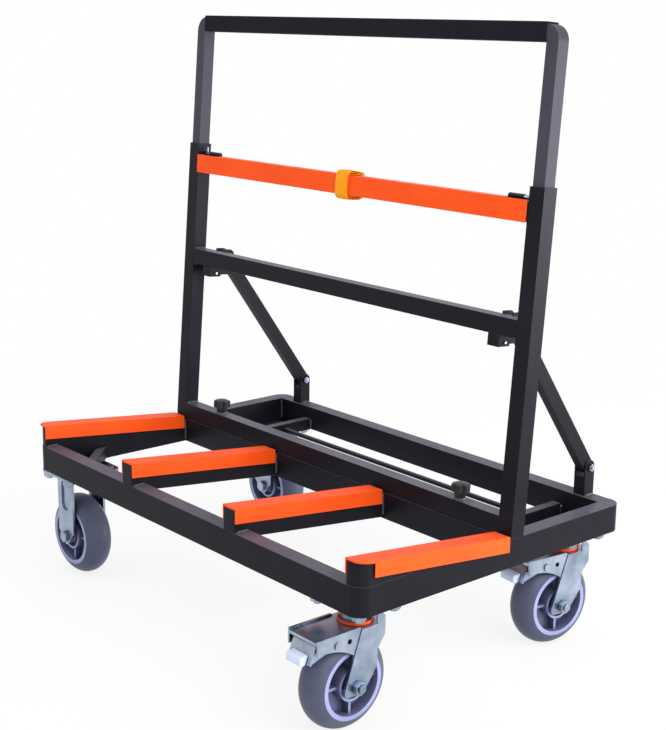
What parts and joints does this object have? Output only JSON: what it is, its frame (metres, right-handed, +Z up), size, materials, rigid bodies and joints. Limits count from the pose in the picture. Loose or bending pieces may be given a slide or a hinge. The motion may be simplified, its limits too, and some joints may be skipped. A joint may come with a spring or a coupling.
{
  "type": "sheet goods cart",
  "caption": "Tube-frame cart with sloping support bars and a leaning padded upright for carrying flat sheets on edge, on fixed and braked swivel casters, with a telescopic push handle.",
  "frame": {"origin": "centre of the bounding box on the floor", "axes": "+Z up; +X along the base towards the swivel casters; +Y from the open front to the back, the way the upright leans"},
  "size_m": [0.8001, 0.5594, 0.8874],
  "materials": {
    "black_coat": "satin powder coat",
    "orange_cap": "smooth moulded",
    "orange_seal": "satin",
    "tread": "satin",
    "hub": "satin",
    "pedal_tip": "satin",
    "webbing": "woven",
    "grip": "matte",
    "knob": "satin",
    "zinc": "bright zinc plate"
  },
  "bodies": {
    "cart": {"front_rail": "black_coat", "rear_rail": "black_coat", "left_end_rail": "black_coat", "right_end_rail": "black_coat", "mid_rail": "black_coat", "left_end_bar": "black_coat", "left_mid_bar": "black_coat", "right_mid_bar": "black_coat", "right_end_bar": "black_coat", "left_end_cap": "orange_cap", "left_mid_cap": "orange_cap", "right_mid_cap": "orange_cap", "right_end_cap": "orange_cap", "corner_gussets": "black_coat", "cross_members": "black_coat", "brace_rod": "black_coat", "lower_brackets": "black_coat", "left_post": "black_coat", "right_post": "black_coat", "bottom_rail": "black_coat", "mid_crossbar": "black_coat", "upper_crossbar": "black_coat", "upper_pad": "orange_cap", "upper_brackets": "black_coat", "left_strut": "black_coat", "right_strut": "black_coat", "frame_hardware": "zinc", "strap_loop": "webbing", "latch_barrels": "black_coat", "latch_springs": "zinc", "fixed_fork_front": "zinc", "fixed_fork_rear": "zinc", "fixed_axles": "zinc", "swivel_plates": "zinc", "caster_bolts": "zinc", "swivel_seals": "orange_seal"},
    "handle": {"handle_tube": "black_coat", "handle_grip": "grip"},
    "left_latch": {"left_latch_bolt": "zinc"},
    "right_latch": {"right_latch_bolt": "zinc"},
    "left_star_knob": {"left_knob": "knob"},
    "right_star_knob": {"right_knob": "knob"},
    "front_swivel": {"swivel_fork_front": "zinc", "swivel_axle_front": "zinc", "lower_seal_front": "orange_seal"},
    "rear_swivel": {"swivel_fork_rear": "zinc", "swivel_axle_rear": "zinc", "lower_seal_rear": "orange_seal"},
    "front_pedal": {"brake_pedal_front": "zinc", "pedal_tip_front": "pedal_tip"},
    "rear_pedal": {"brake_pedal_rear": "zinc", "pedal_tip_rear": "pedal_tip"},
    "front_left_wheel": {"front_left_hub": "hub", "front_left_tyre": "tread"},
    "rear_left_wheel": {"rear_left_hub": "hub", "rear_left_tyre": "tread"},
    "front_right_wheel": {"front_right_hub": "hub", "front_right_tyre": "tread"},
    "rear_right_wheel": {"rear_right_hub": "hub", "rear_right_tyre": "tread"}
  },
  "joints": [
    {"name": "handle_slide", "type": "slide", "parent": "cart", "child": "handle", "axis": [0, 0.0755, 0.9971], "range_m": [-0.175, 0]},
    {"name": "left_latch_pull", "type": "slide", "parent": "cart", "child": "left_latch", "axis": [1, 0, 0], "range_m": [0, 0.007], "stiffness_N_per_m": 300, "springref_m": -0.004},
    {"name": "right_latch_pull", "type": "slide", "parent": "cart", "child": "right_latch", "axis": [-1, 0, 0], "range_m": [0, 0.007], "stiffness_N_per_m": 300, "springref_m": -0.004},
    {"name": "left_knob_turn", "type": "hinge", "parent": "cart", "child": "left_star_knob", "pos_m": [-0.26805, 0.05724, 0.24087], "axis": [0, 0.0755, 0.9971], "continuous": true},
    {"name": "right_knob_turn", "type": "hinge", "parent": "cart", "child": "right_star_knob", "pos_m": [0.28795, 0.05724, 0.24087], "axis": [0, 0.0755, 0.9971], "continuous": true},
    {"name": "front_caster_swivel", "type": "hinge", "parent": "cart", "child": "front_swivel", "pos_m": [0.33395, -0.17625, 0.142], "axis": [0, 0, 1], "continuous": true},
    {"name": "rear_caster_swivel", "type": "hinge", "parent": "cart", "child": "rear_swivel", "pos_m": [0.33395, 0.22775, 0.142], "axis": [0, 0, 1], "continuous": true},
    {"name": "front_brake_pedal", "type": "hinge", "parent": "front_swivel", "child": "front_pedal", "pos_m": [0.33395, -0.23095, 0.1306], "axis": [1, 0, 0], "range_deg": [0, 15]},
    {"name": "rear_brake_pedal", "type": "hinge", "parent": "rear_swivel", "child": "rear_pedal", "pos_m": [0.32681, 0.17352, 0.1306], "axis": [0.9914, -0.1305, 0], "range_deg": [0, 15]},
    {"name": "front_left_roll", "type": "hinge", "parent": "cart", "child": "front_left_wheel", "pos_m": [-0.33505, -0.17625, 0.065], "axis": [0, 1, 0], "continuous": true},
    {"name": "rear_left_roll", "type": "hinge", "parent": "cart", "child": "rear_left_wheel", "pos_m": [-0.33505, 0.22775, 0.065], "axis": [0, 1, 0], "continuous": true},
    {"name": "front_right_roll", "type": "hinge", "parent": "front_swivel", "child": "front_right_wheel", "pos_m": [0.33395, -0.19825, 0.065], "axis": [1, 0, 0], "continuous": true},
    {"name": "rear_right_roll", "type": "hinge", "parent": "rear_swivel", "child": "rear_right_wheel", "pos_m": [0.33108, 0.20594, 0.065], "axis": [0.9914, -0.1305, 0], "continuous": true}
  ]
}
